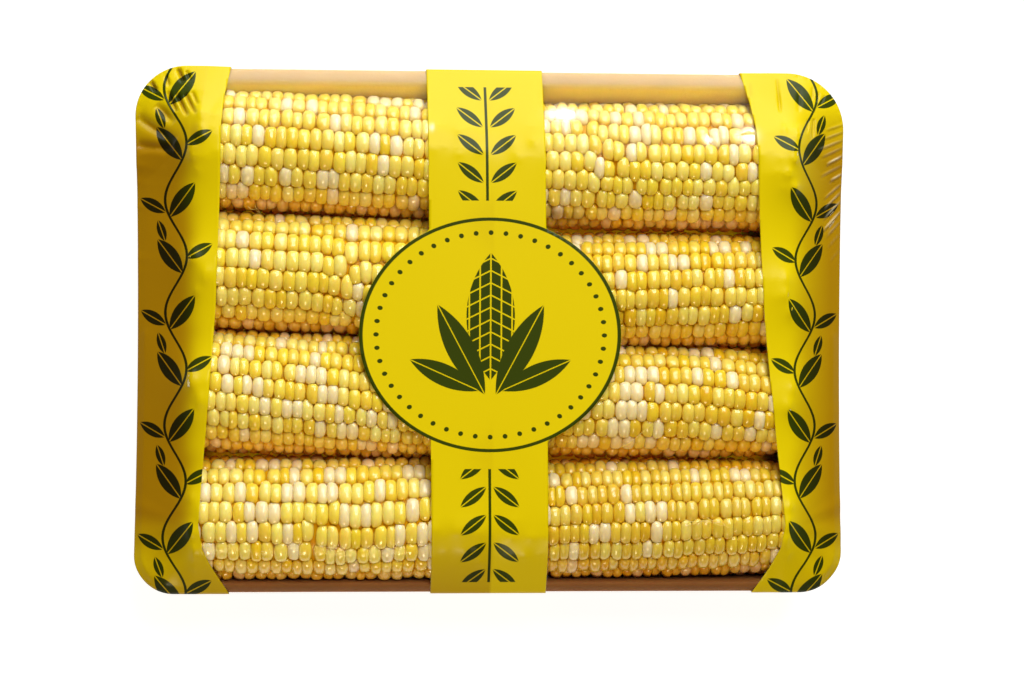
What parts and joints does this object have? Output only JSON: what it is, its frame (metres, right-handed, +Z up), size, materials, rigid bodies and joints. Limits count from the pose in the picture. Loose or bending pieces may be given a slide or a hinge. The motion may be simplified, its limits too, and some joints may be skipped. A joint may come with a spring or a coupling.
{
  "type": "film-wrapped tray of corn cobs",
  "caption": "Shallow rounded fibre tray of husked sweet-corn cobs laid side by side, overwrapped in clear film with yellow printed end strips, a middle band and an oval panel.",
  "frame": {"origin": "on the table under the middle of the pack", "axes": "+X along the cobs, +Y to the back edge as the picture shows the pack from above, +Z up through the printed face"},
  "size_m": [0.282, 0.209, 0.0515],
  "materials": {
    "board": "matt tan moulded fibre",
    "corn": "moist yellow and white kernels",
    "printed_film": "glossy film with translucent yellow print",
    "clear_film": "clear glossy film"
  },
  "bodies": {
    "root": {"tray": "board", "cob_1_left": "corn", "cob_2_left": "corn", "cob_3_left": "corn", "cob_4_left": "corn", "cob_1_right": "corn", "cob_2_right": "corn", "cob_3_right": "corn", "cob_4_right": "corn", "wrap_print_left": "printed_film", "wrap_print_middle": "printed_film", "wrap_print_right": "printed_film", "wrap_clear_left": "clear_film", "wrap_clear_right": "clear_film"}
  },
  "joints": []
}
